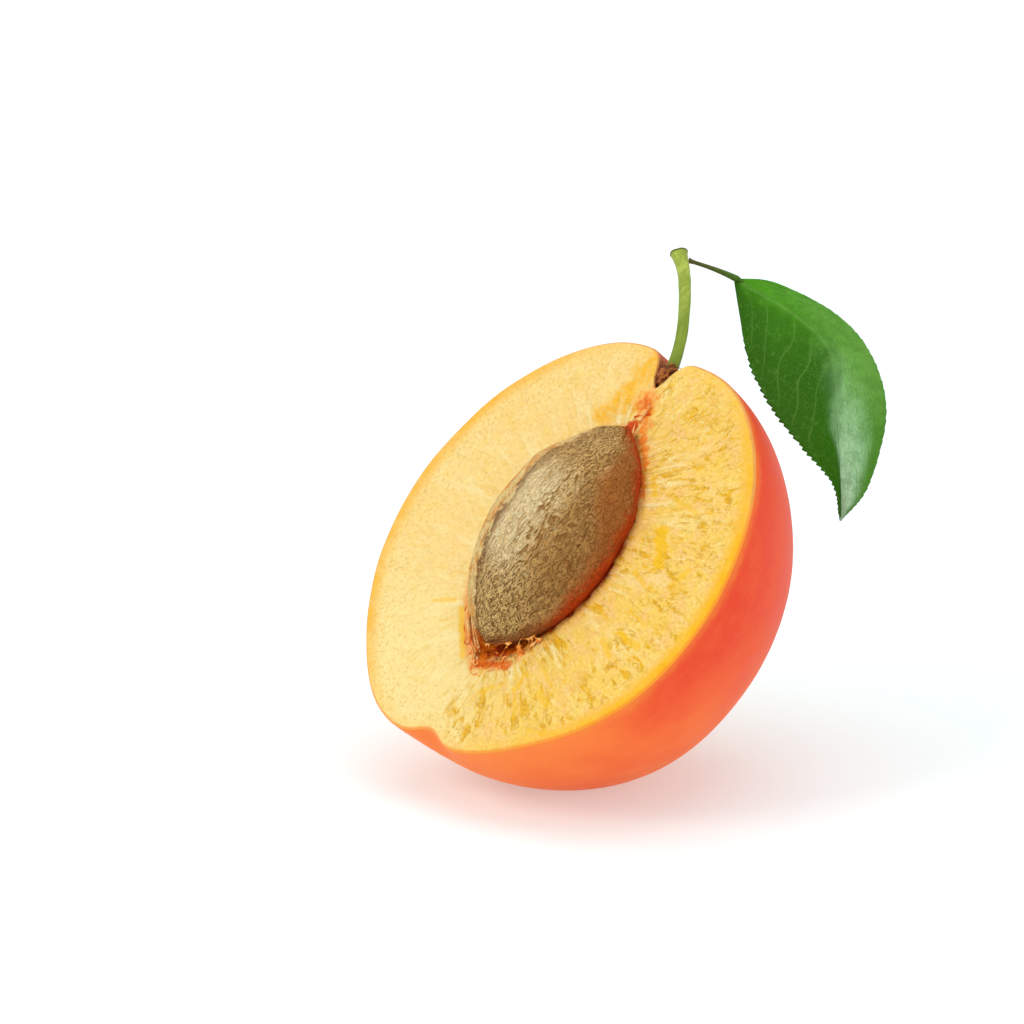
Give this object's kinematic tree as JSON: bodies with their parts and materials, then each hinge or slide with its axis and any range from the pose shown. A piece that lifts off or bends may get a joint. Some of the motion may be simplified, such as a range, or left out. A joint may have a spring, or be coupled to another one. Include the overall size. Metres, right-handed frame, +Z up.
{
  "type": "apricot half with stone, stem and leaf",
  "caption": "Cut half of a ripe apricot standing on its skin, with the stone in its hollow, a curved stem and a leaf hanging from the stem.",
  "frame": {"origin": "centre of the flat resting spot on the skin, on the surface that the half stands on", "axes": "+Z up, -Y to the front, from where the cut face and the stone are seen, +X to the right, to the side of the leaf"},
  "size_m": [0.0565, 0.0454, 0.0546],
  "materials": {
    "flesh": "fine velvety skin, yellow-orange to red, and a moist yellow cut face with fibres",
    "stone_shell": "dry, rough and finely wrinkled woody shell, tan to brown",
    "stem_bark": "green, slightly rough, browner at the root and at the cut end",
    "leaf_green": "satin green blade with pale fine veins"
  },
  "bodies": {
    "root": {"fruit_half": "flesh", "stone": "stone_shell", "stem": "stem_bark", "leaf": "leaf_green"}
  },
  "joints": []
}
